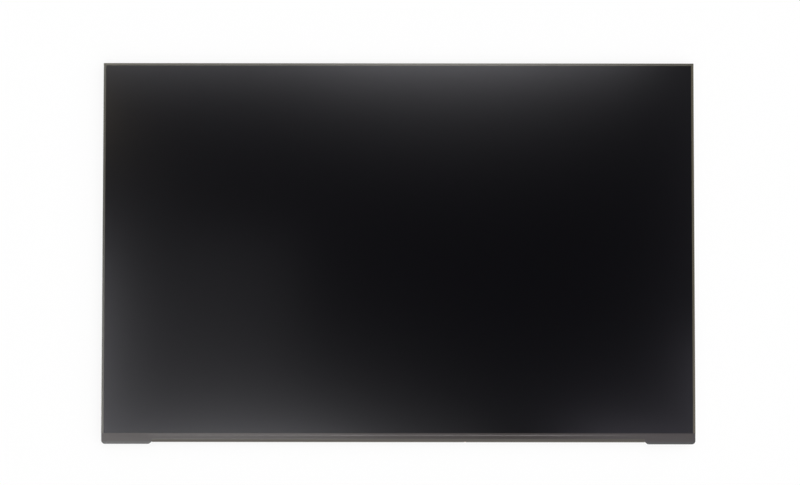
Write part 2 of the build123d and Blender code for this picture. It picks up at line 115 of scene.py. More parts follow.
# Colours of what lies behind the screen's film
GLASS_COLOUR = (0.012, 0.016, 0.015)
REAR_FILM_COLOUR = (0.030, 0.031, 0.036)
PRISM_COLOUR = (0.84, 0.86, 0.88)
GUIDE_COLOUR = (0.93, 0.96, 0.96)
DOT_COLOUR = (0.80, 0.83, 0.83)
REFLECTOR_COLOUR = (0.90, 0.90, 0.90)
FLEX_COLOUR = (0.82, 0.82, 0.79)
DIODE_COLOUR = (0.86, 0.85, 0.80)
PHOSPHOR_COLOUR = (0.80, 0.58, 0.07)
COPPER_COLOUR = (0.55, 0.26, 0.11)
SILICON_COLOUR = (0.10, 0.10, 0.115)
ADHESIVE_COLOUR = (0.74, 0.74, 0.72)
EPOXY_COLOUR = (0.016, 0.016, 0.017)
FERRITE_COLOUR = (0.060, 0.058, 0.056)
CERAMIC_COLOUR = (0.33, 0.20, 0.11)
SOCKET_COLOUR = (0.018, 0.018, 0.019)
SHELL_COLOUR = (0.62, 0.61, 0.59)
TERMINAL_COLOUR = (0.74, 0.73, 0.71)
SOLDER_COLOUR = (0.70, 0.70, 0.69)
GOLD_COLOUR = (0.86, 0.60, 0.24)

# Tints of light
PLAIN = (1, 1, 1)
WARM = (1, 0.86, 0.58)
COOL = (0.93, 0.90, 1)

CAMERA_CLIP = 0.01


class SoftBar(NamedTuple):
    """Lamp placed by its mirror image in the screen, in the screen's half widths and half heights."""

    name: str
    image: tuple
    half_size: tuple
    level: float
    tint: tuple = PLAIN


# An image past 1 lies beyond the screen's edge, where the matte screen shows only its haze.
# The lower left haze is faint and lies on the screen.
SOFT_BARS = (
    SoftBar("top_bar", image=(-0.15, 1.2), half_size=(1.0, 0.1), level=5),
    SoftBar("top_middle_bar", image=(0.15, 1.5), half_size=(0.4, 0.15), level=17),
    SoftBar("upper_left_bar", image=(-1.15, 0.8), half_size=(0.05, 0.2), level=4, tint=WARM),
    SoftBar("left_bar", image=(-1.4, -0.9), half_size=(0.1, 0.9), level=36),
    SoftBar("lower_left_bar", image=(-0.6, -1.5), half_size=(0.45, 0.15), level=30),
    SoftBar("lower_left_haze", image=(-0.55, -0.9), half_size=(0.2, 1.0), level=0.2),
    SoftBar("lower_middle_bar", image=(0.1, -1.2), half_size=(0.2, 0.05), level=3.5),
    SoftBar("lower_right_bar", image=(0.8, -1.2), half_size=(0.2, 0.1), level=4.5, tint=COOL),
    SoftBar("right_bar", image=(1.1, -0.8), half_size=(0.05, 0.3), level=3, tint=COOL),
    SoftBar("upper_right_bar", image=(1.1, 0.3), half_size=(0.05, 0.8), level=0.5, tint=COOL),
    SoftBar("strip_bar", image=(0.25, -2.8), half_size=(0.55, 0.25), level=30),
)


def number(name, description, default, **kind):
    return bpy.props.FloatProperty(name=name, description=description, default=default, **kind)


def vector(name, description, default, **kind):
    return bpy.props.FloatVectorProperty(name=name, description=description, size=3, default=default, **kind)


def angle(name, description, degrees):
    return number(name, description, math.radians(degrees), subtype="ANGLE", unit="ROTATION")


colour = partial(vector, subtype="COLOR", min=0, max=1)
place = partial(vector, subtype="TRANSLATION", unit="LENGTH")
length = partial(number, subtype="DISTANCE", unit="LENGTH", min=0)
share = partial(number, subtype="FACTOR", min=0, max=1)
level = partial(number, min=0)


class ScreenSettings(bpy.types.PropertyGroup):
    """Matte film over the picture"""

    film_colour: colour("Film colour", "Colour of the matte film", (0.0004, 0.0003, 0.0011))
    film_roughness: share("Film roughness", "How far the matte film spreads a reflection", 0.21)
    speck_colour: colour("Speck colour", "Colour of the dust specks", (0.012, 0.012, 0.012))
    speck_radius: length("Speck radius", "Radius of a dust speck", 0.45 * MM)


class TapeSettings(bpy.types.PropertyGroup):
    """Tapes round the edges and over the driver board"""

    strip_colour: colour("Strip colour", "Colour of the cover tape", (0.060, 0.053, 0.052))
    fold_colour: colour("Fold colour", "Colour of the cover tape where it is bent", (0.056, 0.047, 0.035))
    # Painted highlight: the fold's outermost edge is painted pale, as if it caught the light
    crest_colour: colour("Crest colour", "Colour of the cover tape's outermost edge", (0.240, 0.225, 0.200))
    fold_roughness: share("Fold roughness", "Roughness of the cover tape where it is bent", 0.70)
    strip_roughness: share("Strip roughness", "Roughness of the cover tape", 0.21)
    # Painted light: the three edge tapes are one kind of tape, each painted in the tone that the light gives
    # its side, the right one warmer and the top one darker
    left_colour: colour("Left colour", "Colour of the left edge tape", (0.088, 0.085, 0.074))
    right_colour: colour("Right colour", "Colour of the right edge tape", (0.096, 0.084, 0.059))
    top_colour: colour("Top colour", "Colour of the top edge tape", (0.085, 0.079, 0.062))
    rim_roughness: share("Rim roughness", "Roughness of the edge tapes", 0.22)
    strip_gloss: level("Strip gloss", "Index of refraction of the cover tape", 1.46)
    shield_gloss: level("Shield gloss", "Index of refraction of the shield tape", 1.5)
    side_gloss: level("Side gloss", "Index of refraction of the left and right edge tapes", 1.56)
    top_gloss: level("Top gloss", "Index of refraction of the top edge tape", 1.64)
    sag_depth: length("Sag depth", "Depth of the cover tape between the board's parts", 0.5 * MM)
    sag_slope: share("Sag slope", "Slope of the cover tape away from a part", 0.2)
    nick_depth: length("Nick depth", "Depth of the nick in the folded edge", 0.3 * MM)


class FrameSettings(bpy.types.PropertyGroup):
    """Mould frame and back plate"""

    frame_colour: colour("Frame colour", "Colour of the moulded frame", (0.066, 0.067, 0.066))
    frame_roughness: share("Frame roughness", "Roughness of the moulded frame", 0.22)
    plate_colour: colour("Plate colour", "Colour of the rolled back plate", (0.72, 0.73, 0.74))
    plate_roughness: share("Plate roughness", "Roughness of the rolled back plate", 0.36)


class BoardSettings(bpy.types.PropertyGroup):
    """Driver board and what is soldered to it"""

    mask_colour: colour("Mask colour", "Colour of the board's solder mask", (0.010, 0.070, 0.030))
    film_colour: colour("Driver film colour", "Colour of the driver films", (0.42, 0.17, 0.035))
    contact_rise: length("Contact rise", "Height of a contact's spring in the socket", 0.35 * MM)
    solder_length: length("Solder length", "Length of the solder on a contact's tail", 0.80 * MM)
    solder_width: length("Solder width", "Width of the solder on a contact's tail", 0.38 * MM)
    solder_height: length("Solder height", "Height of the solder on a contact's tail", 0.17 * MM)
    terminal_length: length("Terminal length", "Length of a capacitor's metal end", 0.36 * MM)
    terminal_skin: length("Terminal skin", "Metal over a capacitor's end", 0.01 * MM)
    window_margin: length("Diode window margin", "White wall round a diode's window", 0.3 * MM)
    window_wall: length("Diode window wall", "White wall above a diode's window", 0.07 * MM)
    window_depth: length("Diode window depth", "Depth of the phosphor in a diode", 0.1 * MM)
    window_recess: length("Diode window recess", "Phosphor behind the diode's face", 0.02 * MM)
    edge_radius: length("Edge radius", "Rounding of the terminals' and windows' edges", 0.03 * MM)


class StageSettings(bpy.types.PropertyGroup):
    """Table, light and camera"""

    floor_colour: colour("Floor colour", "Colour of the table", (0.96, 0.96, 0.96))
    floor_size: length("Floor size", "Length of the table's sides", 6.0)
    floor_glow: share("Floor glow", "Share of plain white in the table as it is seen", 0.84)
    room_level: level("Room level", "Light from the room round the table", 1.43)
    room_lean: share("Room lean", "How much more of the light comes from the right", 0.80)
    ceiling_level: level("Ceiling level", "Light from the dark ceiling", 0.004)
    ceiling_angle: angle("Ceiling angle", "Half angle of the dark ceiling", 24.1)
    wall_angle: angle("Wall angle", "Angle from overhead at which the room is fully lit", 38.8)
    lamp_height: length("Lamp height", "Height of the soft bars", 0.6)
    camera_place: place("Camera place", "Place of the camera", (0.0009, -0.0031, 0.4535))
    camera_target: place("Camera target", "Point in the middle of the view", (0.0008, 0.0054, 0.0036))
    camera_roll: angle("Camera roll", "Turn of the camera about its line of sight", 0.054)
    camera_lens: number("Camera lens", "Focal length", 39.11, unit="CAMERA", min=1)


class Finish:
    """Node tree of one finish, laid out in the piece's own coordinates."""

    def __init__(self, name, **constants):
        self.material = bpy.data.materials.new(name)
        self.material.use_nodes = True
        self.nodes = self.material.node_tree.nodes
        self.links = self.material.node_tree.links
        self.shader = self.nodes["Principled BSDF"]
        self.place = self.nodes.new("ShaderNodeTexCoord").outputs["Object"]
        for socket, value in constants.items():
            self.shader.inputs[socket.replace("_", " ")].default_value = value

    def feed(self, socket, value):
        """Joins a node's output to a socket, or sets the socket's own value."""
        if isinstance(value, bpy.types.NodeSocket):
            self.links.new(value, socket)
        else:
            socket.default_value = value

    def along(self, axis):
        """One of the coordinates."""
        split = self.nodes.new("ShaderNodeSeparateXYZ")
        self.links.new(self.place, split.inputs["Vector"])
        return split.outputs[axis]

    def stretched(self, stretch):
        """Coordinates divided by a stretch along each axis."""
        mapping = self.nodes.new("ShaderNodeMapping")
        mapping.inputs["Scale"].default_value = [1 / factor for factor in stretch]
        self.links.new(self.place, mapping.inputs["Vector"])
        return mapping.outputs["Vector"]

    def mottle(self, size, detail=3.0, stretch=(1, 1, 1)):
        """Soft noise with features of one size."""
        noise = self.nodes.new("ShaderNodeTexNoise")
        noise.inputs["Scale"].default_value = 1 / size
        noise.inputs["Detail"].default_value = detail
        self.links.new(self.stretched(stretch), noise.inputs["Vector"])
        return noise.outputs["Fac"]

    def lines(self, pitch, axis):
        """Parallel lines at a pitch, counted along one axis."""
        wave = self.nodes.new("ShaderNodeTexWave")
        wave.bands_direction = axis
        # At a scale of 1 the lines are pi / 10 apart
        wave.inputs["Scale"].default_value = math.pi / (10 * pitch)
        self.links.new(self.place, wave.inputs["Vector"])
        return wave.outputs["Fac"]

    def cells(self, size, stretch=(1, 1, 1)):
        """Distance from the edges of irregular square cells."""
        voronoi = self.nodes.new("ShaderNodeTexVoronoi")
        voronoi.feature = "DISTANCE_TO_EDGE"
        voronoi.inputs["Scale"].default_value = 1 / size
        self.links.new(self.stretched(stretch), voronoi.inputs["Vector"])
        return voronoi.outputs["Distance"]

    def spot(self, centre, radius):
        """One at a point of the piece, falling to nothing at a radius."""
        reach = self.nodes.new("ShaderNodeVectorMath")
        reach.operation = "DISTANCE"
        reach.inputs[1].default_value = centre
        self.links.new(self.place, reach.inputs[0])
        return self.span(reach.outputs["Value"], 1, 0, radius / 2, radius)

    def span(self, factor, low, high, start=0.0, end=1.0):
        """Carries a factor between two ends over to two values."""
        ramp = self.nodes.new("ShaderNodeMapRange")
        ramp.interpolation_type = "SMOOTHSTEP"
        self.links.new(factor, ramp.inputs["Value"])
        ramp.inputs["From Min"].default_value = start
        ramp.inputs["From Max"].default_value = end
        self.feed(ramp.inputs["To Min"], low)
        self.feed(ramp.inputs["To Max"], high)
        return ramp.outputs["Result"]

    def blend(self, factor, first, second):
        """Mixes two colours by a factor."""
        mix = self.nodes.new("ShaderNodeMix")
        mix.data_type = "RGBA"
        self.links.new(factor, mix.inputs["Factor"])
        self.feed(mix.inputs["A"], first)
        self.feed(mix.inputs["B"], second)
        return mix.outputs["Result"]

    def shades(self, factor, base, spread):
        """Mixes darker and lighter shades of one colour by a factor."""
        return self.blend(factor, shade(base, 1 - spread), shade(base, 1 + spread))

    def colour(self, socket):
        self.links.new(socket, self.shader.inputs["Base Color"])

    def roughness(self, socket):
        self.links.new(socket, self.shader.inputs["Roughness"])

    def metal(self, socket):
        self.links.new(socket, self.shader.inputs["Metallic"])

    def bump(self, socket, depth):
        """Raises the surface by a height that a factor gives."""
        bump = self.nodes.new("ShaderNodeBump")
        bump.inputs["Distance"].default_value = depth
        self.links.new(socket, bump.inputs["Height"])
        self.links.new(bump.outputs["Normal"], self.shader.inputs["Normal"])


def shade(base, factor):
    """A colour with its light scaled, as a full colour value."""
    return (*[min(1.0, channel * factor) for channel in base[:3]], 1.0)


def matte_screen(screen):
    """Matte black film with two dust specks."""
    finish = Finish("matte_screen", IOR=1.52, Specular_Tint=(0.95, 0.94, 1, 1))
    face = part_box("front_polariser")[1].z
    film = finish.shades(finish.mottle(35 * MM), screen.film_colour, 0.15)
    for x, y in SPECKS:
        speck = finish.spot((x, y, face), screen.speck_radius)
        film = finish.blend(speck, film, shade(screen.speck_colour, 1))
    finish.colour(film)
    grain = finish.mottle(0.8 * MM, detail=2)
    finish.roughness(finish.span(grain, screen.film_roughness - 0.01, screen.film_roughness + 0.01))
    return finish.material


class Fold(NamedTuple):
    """A fold along X: its colour, the painted highlight along its outermost edge and its roughness, its
    places along Y and the levels where it starts.
    """

    colour: tuple
    crest_colour: tuple
    roughness: float
    start: float
    end: float
    crest: float
    outermost: float
    low: float
    high: float


def plastic_tape(name, base, roughness, gloss, fold=None):
    """Thin polyester tape with a faint pressed grain, duller and of another colour where it is folded, with
    a painted highlight along the fold's outermost edge.
    """
    finish = Finish(name, IOR=gloss)
    sheet = finish.shades(finish.mottle(9 * MM), base, 0.05)
    grain = finish.mottle(0.5 * MM, detail=2)
    spread = finish.span(grain, roughness - 0.03, roughness + 0.03)
    if fold:
        across = finish.along("Y")
        below = finish.span(finish.along("Z"), 1, 0, fold.low, fold.high)
        bent = finish.span(finish.span(across, 1, 0, fold.end, fold.start), 0, below)
        # Painted highlight: the colour turns paler towards the fold's outermost edge
        crest = finish.span(across, 1, 0, fold.outermost, fold.crest)
        fold_tint_and_crest_highlight = finish.blend(crest, shade(fold.colour, 1), shade(fold.crest_colour, 1))
        sheet = finish.blend(bent, sheet, fold_tint_and_crest_highlight)
        spread = finish.span(bent, spread, fold.roughness)
    finish.colour(sheet)
    finish.roughness(spread)
    finish.bump(grain, 0.0006 * MM)
    return finish.material


def moulded_plastic(name, base, roughness, grain_size=0.25 * MM):
    """Moulded plastic with a fine spark-worn grain."""
    finish = Finish(name, IOR=1.48)
    finish.colour(finish.shades(finish.mottle(6 * MM), base, 0.06))
    grain = finish.mottle(grain_size, detail=2)
    finish.roughness(finish.span(grain, roughness - 0.05, roughness + 0.05))
    finish.bump(grain, 0.002 * MM)
    return finish.material


def rolled_metal(name, base, roughness, stretch=(40, 1, 1)):
    """Metal sheet with fine lines along its rolling direction."""
    finish = Finish(name, Metallic=1.0)
    rolling = finish.mottle(0.4 * MM, detail=4, stretch=stretch)
    finish.colour(finish.shades(rolling, base, 0.05))
    finish.roughness(finish.span(rolling, roughness - 0.06, roughness + 0.06))
    finish.bump(rolling, 0.001 * MM)
    return finish.material


def dark_sheet(name, gloss, base, ripple, low, high):
    """Smooth dark glass or film, with ripples of one size between two roughnesses."""
    finish = Finish(name, IOR=gloss)
    finish.colour(finish.shades(finish.mottle(20 * MM), base, 0.1))
    finish.roughness(finish.span(finish.mottle(ripple), low, high))
    return finish.material


def prism_sheet():
    """Milky optical film with fine prisms across it."""
    finish = Finish("prism_sheet", IOR=1.55, Transmission_Weight=0.45)
    finish.colour(finish.shades(finish.mottle(12 * MM), PRISM_COLOUR, 0.03))
    prisms = finish.lines(0.05 * MM, "X")
    finish.roughness(finish.span(prisms, 0.30, 0.42))
    finish.bump(prisms, 0.004 * MM)
    return finish.material


def clear_acrylic():
    """Clear light guide with printed dots under it."""
    finish = Finish("clear_acrylic", IOR=1.49, Transmission_Weight=0.9)
    dots = finish.span(finish.cells(1.2 * MM), 1, 0, 0.0, 0.25)
    finish.colour(finish.blend(dots, shade(GUIDE_COLOUR, 1), shade(DOT_COLOUR, 1)))
    finish.roughness(finish.span(dots, 0.04, 0.35))
    return finish.material


def white_sheet(name, base):
    """White sheet with a soft grain."""
    finish = Finish(name)
    finish.colour(finish.shades(finish.mottle(7 * MM), base, 0.03))
    grain = finish.mottle(0.3 * MM, detail=2)
    finish.roughness(finish.span(grain, 0.42, 0.58))
    finish.bump(grain, 0.001 * MM)
    return finish.material


def traced_film(base):
    """Amber film with fine copper lines along it."""
    finish = Finish("traced_film", IOR=1.6)
    traces = finish.span(finish.lines(0.32 * MM, "X"), 0, 1, 0.45, 0.55)
    amber = finish.shades(finish.mottle(5 * MM), base, 0.08)
    finish.colour(finish.blend(traces, amber, shade(COPPER_COLOUR, 1)))
    finish.metal(finish.span(traces, 0, 0.8))
    finish.roughness(finish.span(traces, 0.28, 0.38))
    finish.bump(traces, 0.004 * MM)
    return finish.material


def solder_mask(base):
    """Green board with traces raised under its mask."""
    finish = Finish("solder_mask", IOR=1.5)
    traces = finish.span(finish.cells(1.1 * MM, stretch=(3, 1, 1)), 1, 0, 0.06, 0.12)
    mask = finish.shades(finish.mottle(4 * MM), base, 0.08)
    finish.colour(finish.blend(traces, mask, shade(base, 1.7)))
    finish.roughness(finish.span(finish.mottle(0.4 * MM), 0.24, 0.36))
    finish.bump(traces, 0.012 * MM)
    return finish.material


def silicon_chip():
    """Polished silicon, ground on its back."""
    finish = Finish("silicon_chip", Metallic=0.6)
    ground = finish.mottle(0.2 * MM, detail=3, stretch=(20, 1, 1))
    finish.colour(finish.shades(ground, SILICON_COLOUR, 0.12))
    finish.roughness(finish.span(ground, 0.12, 0.2))
    return finish.material


def phosphor():
    """Yellow phosphor cast in a diode's window."""
    finish = Finish("phosphor", IOR=1.45)
    finish.colour(finish.shades(finish.mottle(0.15 * MM), PHOSPHOR_COLOUR, 0.07))
    finish.roughness(finish.span(finish.mottle(0.1 * MM), 0.25, 0.4))
    return finish.material


def dress(nodes, material):
    """Gives CAD nodes a finish."""
    for name in nodes:
        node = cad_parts[name]
        if not node.material_slots:
            node.data.materials.append(material)
        for slot in node.material_slots:
            slot.material = material


def show(thing):
    """Puts an object in the scene."""
    bpy.context.scene.collection.objects.link(thing)


def add_piece(mesh, stands_for=()):
    """Puts a finished mesh in the scene, fixed to the panel."""
    piece = bpy.data.objects.new(mesh.name, mesh)
    show(piece)
    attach(piece, BODY)
    if stands_for:
        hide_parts(*stands_for)


def plain_mesh(name, mesh, add_modifiers):
    """Runs modifiers on a mesh and returns the plain mesh that comes out."""
    carrier = bpy.data.objects.new(name, mesh)
    show(carrier)
    add_modifiers(carrier)
    graph = bpy.context.evaluated_depsgraph_get()
    result = bpy.data.meshes.new_from_object(carrier.evaluated_get(graph), depsgraph=graph)
    bpy.data.objects.remove(carrier)
    bpy.data.meshes.remove(mesh)
    result.name = name
    return result


def run_tree(name, mesh, tree, values):
    """Runs a node tree on a mesh, with its inputs set by name."""

    def add_tree(carrier):
        modifier = carrier.modifiers.new("Build", "NODES")
        modifier.node_group = tree
        for item in tree.interface.items_tree:
            if item.item_type == "SOCKET" and item.in_out == "INPUT" and item.name in values:
                modifier[item.identifier] = values[item.name]

    return plain_mesh(name, mesh, add_tree)


def new_tree(name, inputs):
    """Empty geometry node tree with named inputs."""
    tree = bpy.data.node_groups.new(name, "GeometryNodeTree")
    tree.interface.new_socket("Geometry", in_out="INPUT", socket_type="NodeSocketGeometry")
    for label, kind in inputs:
        tree.interface.new_socket(label, in_out="INPUT", socket_type=kind)
    tree.interface.new_socket("Geometry", in_out="OUTPUT", socket_type="NodeSocketGeometry")
    return tree


def copies_tree():
    """Puts a copy of a template on every vertex of the mesh that it is given."""
    tree = bpy.data.node_groups.get("copies_on_points")
    if tree:
        return tree
    inputs = (("Template", "NodeSocketObject"), ("Finish", "NodeSocketMaterial"))
    tree = new_tree("copies_on_points", inputs)
    nodes, links = tree.nodes, tree.links
    start = nodes.new("NodeGroupInput")
    shape = nodes.new("GeometryNodeObjectInfo")
    links.new(start.outputs["Template"], shape.inputs["Object"])
    copies = nodes.new("GeometryNodeInstanceOnPoints")
    links.new(start.outputs["Geometry"], copies.inputs["Points"])
    links.new(shape.outputs["Geometry"], copies.inputs["Instance"])
    real = nodes.new("GeometryNodeRealizeInstances")
    links.new(copies.outputs["Instances"], real.inputs["Geometry"])
    coat = nodes.new("GeometryNodeSetMaterial")
    links.new(real.outputs["Geometry"], coat.inputs["Geometry"])
    links.new(start.outputs["Finish"], coat.inputs["Material"])
    end = nodes.new("NodeGroupOutput")
    links.new(coat.outputs["Geometry"], end.inputs["Geometry"])
    return tree


def repeated(name, shape, points, material):
    """Mesh of one shape repeated at each of some points."""
    template = bpy.data.objects.new(name + "_template", mesh_from(shape, name + "_template"))
    values = {"Template": template, "Finish": material}
    carrier = bpy.data.meshes.new(name + "_points")
    carrier.from_pydata(points, [], [])
    mesh = run_tree(name, carrier, copies_tree(), values)
    bpy.data.objects.remove(template)
    smooth(mesh)
    return mesh


def mesh_from(shape, name):
    """Plain mesh from an edit mesh, with its faces outward."""
    bmesh.ops.recalc_face_normals(shape, faces=shape.faces)
    mesh = bpy.data.meshes.new(name)
    shape.to_mesh(mesh)
    shape.free()
    return mesh


def rounded_block(size, radius):
    """Block about the origin with rounded edges."""
    block = bmesh.new()
    bmesh.ops.create_cube(block, size=1, matrix=Matrix.Diagonal((*size, 1)))
    rounding = {"offset": radius, "segments": EDGE_SEGMENTS, "profile": 0.5, "clamp_overlap": True}
    bmesh.ops.bevel(block, geom=block.edges[:], affect="EDGES", **rounding)
    return block


def smooth(mesh):
    """Smooth shading with sharp folds."""
    mesh.shade_smooth()
    mesh.set_sharp_from_angle(angle=SHARP_ANGLE)


def solid_boxes(node):
    """Corners of each separate solid in a CAD node, from left to right."""
    solids = bmesh.new()
    solids.from_mesh(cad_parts[node].data)
    bmesh.ops.remove_doubles(solids, verts=solids.verts, dist=MERGE_GAP)
    boxes = []
    waiting = set(solids.verts)
    while waiting:
        reached = [waiting.pop()]
        corners = []
        while reached:
            vertex = reached.pop()
            corners.append(vertex.co.copy())
            for edge in vertex.link_edges:
                other = edge.other_vert(vertex)
                if other in waiting:
                    waiting.remove(other)
                    reached.append(other)
        lowest = Vector([min(corner[axis] for corner in corners) for axis in range(3)])
        highest = Vector([max(corner[axis] for corner in corners) for axis in range(3)])
        boxes.append((lowest, highest))
    solids.free()
    return sorted(boxes, key=lambda box: (box[0].x, box[0].y))


def even_steps(start, end, count):
    """Values from a start to an end, without the start."""
    return [start + (end - start) * index / count for index in range(1, count + 1)]


def ease(step):
    """Smooth step from nothing to one."""
    return step * step * (3 - 2 * step)


class TapeDrape:
    """Level of the cover tape's outer face over the parts on the driver board."""

    def __init__(self, tape, thickness, half_width):
        self.depth = tape.sag_depth
        self.slope = tape.sag_slope
        parts = [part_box(name) for name in BOARD_CHIPS]
        for name in ("inductors", "capacitors"):
            parts.extend(solid_boxes(name))
        cover = thickness + PART_CLEARANCE
        self.parts = [(low, high, low.z - cover) for low, high in parts]
        board_low, board_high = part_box("driver_board")
        self.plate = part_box("back_plate")[0].z - thickness
        self.end = half_width
        self.end_slope = (self.plate - board_low.z + cover) / (half_width - board_high.x)

    def level(self, x, y):
        lowest = self.depth
        for low, high, top in self.parts:
            aside = max(low.x - x, x - high.x, 0.0)
            along = max(low.y - y, y - high.y, 0.0)
            lowest = min(lowest, top + self.slope * max(0.0, math.hypot(aside, along) - TAPE_LINE_GAP))
        return max(lowest, 0.0, self.plate - self.end_slope * (self.end - abs(x)))


def cover_tape_section(thickness):
    """Rows of the tape's outer face, from the screen round the fold to the back plate.

    A row is a place along Y, a level, how far it follows the parts on the board
    and how far it stands out at the fold.
    """
    tape_low, tape_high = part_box("cover_tape")
    film_low, film_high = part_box("driver_film_1")
    board_low, board_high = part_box("driver_board")
    glass_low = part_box("colour_filter_glass")[0]
    film_radius = (glass_low.z - board_low.z) / 2
    fold_level = board_low.z + film_radius
    fold_start = film_low.y + film_radius + film_high.z - glass_low.z
    fold_radius = fold_start - tape_low.y
    strip_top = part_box("front_polariser")[0].y - TAPE_GAP
    front = fold_level + fold_radius
    rear = fold_level - fold_radius
    parts_bottom = film_high.y + PARTS_GAP
    parts_top = board_high.y + COVER_MARGIN
    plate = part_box("back_plate")[0].z - thickness
    rise_end = tape_high.y - COVER_FLANGE
    window_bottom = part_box("socket_contacts")[0].y - SOCKET_WINDOW

    rows = [(strip_top, tape_high.z, 0.0, 0.0)]
    rows += [(y, tape_high.z, 0.0, 0.0) for y in (glass_low.y + STRIP_BEND, glass_low.y)]
    for step in even_steps(0, 1, STRIP_STEPS):
        height = tape_high.z + (front - tape_high.z) * step
        rows.append((glass_low.y - STRIP_SLOPE * step, height, 0.0, 0.0))
    rows.append((rows[-1][0] - STRIP_BEND, front, 0.0, 0.0))
    rows += [(y, front, 0.0, 0.0) for y in even_steps(rows[-1][0], fold_start, STRIP_STEPS)]
    for turn in even_steps(0, math.pi, FOLD_STEPS):
        out = math.sin(turn)
        rows.append((fold_start - fold_radius * out, fold_level + fold_radius * math.cos(turn), 0.0, out))
    rows += [(y, rear, 0.0, 0.0) for y in even_steps(fold_start, parts_bottom - COVER_SLOPE, REAR_STEPS)]
    for step in even_steps(0, 1, SLOPE_STEPS):
        rows.append((parts_bottom - COVER_SLOPE * (1 - step), rear, ease(step), 0.0))
    rows += [(y, rear, 1.0, 0.0) for y in even_steps(parts_bottom, window_bottom, PARTS_STEPS)]
    rows += [(y, rear, 1.0, 0.0) for y in even_steps(window_bottom, parts_top, WINDOW_STEPS)]
    for step in even_steps(0, 1, SLOPE_STEPS):
        rows.append((parts_top + COVER_SLOPE * step, plate, 1 - ease(step), 0.0))
    rows += [(y, plate, 0.0, 0.0) for y in even_steps(rise_end, tape_high.y, FLANGE_STEPS)]
    return rows


def tape_lines(half_width, marks):
    """Places along X for the tape's columns, with some that have to be there."""
    count = round(2 * half_width / TAPE_STEP)
    lines = [-half_width + 2 * half_width * index / count for index in range(count + 1)]
    kept = [x for x in lines if all(abs(x - mark) > TAPE_LINE_GAP for mark in marks)]
    return sorted(kept + list(marks))


def add_grid(mesh, columns):
    """Adds columns of points to a mesh as one sheet, and returns its faces by column."""
    vertices = [[mesh.verts.new(point) for point in column] for column in columns]
    faces = []
    for left, right in zip(vertices, vertices[1:]):
        strip = []
        for index in range(len(left) - 1):
            corners = (left[index], left[index + 1], right[index + 1], right[index])
            strip.append(mesh.faces.new(corners))
        faces.append(strip)
    return faces


def cover_tape_sheet(tape):
    """One sheet of tape: strip below the screen, fold, and drape over the board's parts."""
    tape_low, tape_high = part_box("cover_tape")
    thickness = tape_high.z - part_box("colour_filter_glass")[1].z
    socket_low, socket_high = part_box("socket_housing")
    ear_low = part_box("mould_frame")[0]
    rows = cover_tape_section(thickness)
    # Half the fold's length, from the outermost edge of the tape's solid
    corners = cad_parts["cover_tape"].data.vertices
    half_width = max(abs(corner.co.x) for corner in corners if corner.co.y < tape_low.y + thickness)
    drape = TapeDrape(tape, thickness, half_width)
    window = (socket_low.x - SOCKET_WINDOW, socket_high.x + SOCKET_WINDOW)
    nick = [NICK_PLACE + NICK_WIDTH * step for step in NICK_STEPS]
    board_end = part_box("driver_board")[1].x
    ends = [side * board_end for side in (-1, 1)]
    lines = tape_lines(half_width, [*window, *nick, *ends])

    def outer_face(x, row):
        y, height, follow, out = row
        dent = tape.nick_depth * out * math.exp(-((x - NICK_PLACE) / NICK_WIDTH) ** 2)
        draped = drape.level(x, y) if follow else 0.0
        return (x, y + dent, height * (1 - follow) + draped * follow)

    sheet = bmesh.new()
    faces = add_grid(sheet, [[outer_face(x, row) for row in rows] for x in lines])
    window_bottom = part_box("socket_contacts")[0].y - SOCKET_WINDOW
    plate_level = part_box("back_plate")[0].z
    cut = []
    for strip in faces:
        for face in strip:
            middle = face.calc_center_median()
            behind = middle.z < plate_level and middle.y > window_bottom
            if behind and window[0] < middle.x < window[1]:
                cut.append(face)
    bmesh.ops.delete(sheet, geom=cut, context="FACES")
    # Flat ends of the strip, over the corner ears
    strip_rows = [row[0] for row in rows[:3]]
    strip_rows += even_steps(strip_rows[-1], ear_low.y + EAR_SHOW, EAR_ROWS)
    for start, end in ((tape_low.x, -half_width), (half_width, tape_high.x)):
        columns = [start, *even_steps(start, end, EAR_COLUMNS)]
        add_grid(sheet, [[(x, y, tape_high.z) for y in strip_rows] for x in columns])
    bmesh.ops.remove_doubles(sheet, verts=sheet.verts, dist=MERGE_GAP)
    mesh = bpy.data.meshes.new("cover_tape_sheet")
    sheet.to_mesh(mesh)
    sheet.free()

    def add_wall(carrier):
        wall = carrier.modifiers.new("Tape", "SOLIDIFY")
        wall.thickness = thickness
        wall.offset = -1
        wall.use_even_offset = True

    return plain_mesh("cover_tape_sheet", mesh, add_wall)


def contact_spring(board, low, high):
    """Contact of the socket, from its tail on the board to its sprung tip in the mouth."""
    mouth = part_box("socket_housing")[0].y + SOCKET_BACK_WALL - low.y
    width, reach, thickness = high - low
    path = [(0.0, 0.0), (mouth, 0.0)]
    for step in even_steps(0, 1, SPRING_STEPS):
        rise = ease(min(1.0, step / SPRING_CREST))
        fall = ease(max(0.0, (step - SPRING_CREST) / (1 - SPRING_CREST)))
        path.append((mouth + (reach - mouth) * step, board.contact_rise * rise * (1 - SPRING_FALL * fall)))
    spring = bmesh.new()
    columns = []
    for x, drop in ((0, 0), (width, 0), (width, thickness), (0, thickness), (0, 0)):
        columns.append([(x, y, -height - drop) for y, height in path])
    add_grid(spring, columns)
    bmesh.ops.remove_doubles(spring, verts=spring.verts, dist=MERGE_GAP)
    bmesh.ops.holes_fill(spring, edges=spring.edges)
    return spring


def solder_drop(board):
    """Half of a flat drop, which hangs from the origin."""
    drop = bmesh.new()
    bmesh.ops.create_uvsphere(drop, u_segments=DROP_SEGMENTS, v_segments=DROP_RINGS, radius=0.5)
    upper = [vertex for vertex in drop.verts if vertex.co.z > MERGE_GAP]
    bmesh.ops.delete(drop, geom=upper, context="VERTS")
    bmesh.ops.holes_fill(drop, edges=drop.edges)
    size = Matrix.Diagonal((board.solder_width, board.solder_length, 2 * board.solder_height, 1))
    bmesh.ops.transform(drop, matrix=size, verts=drop.verts)
    return drop


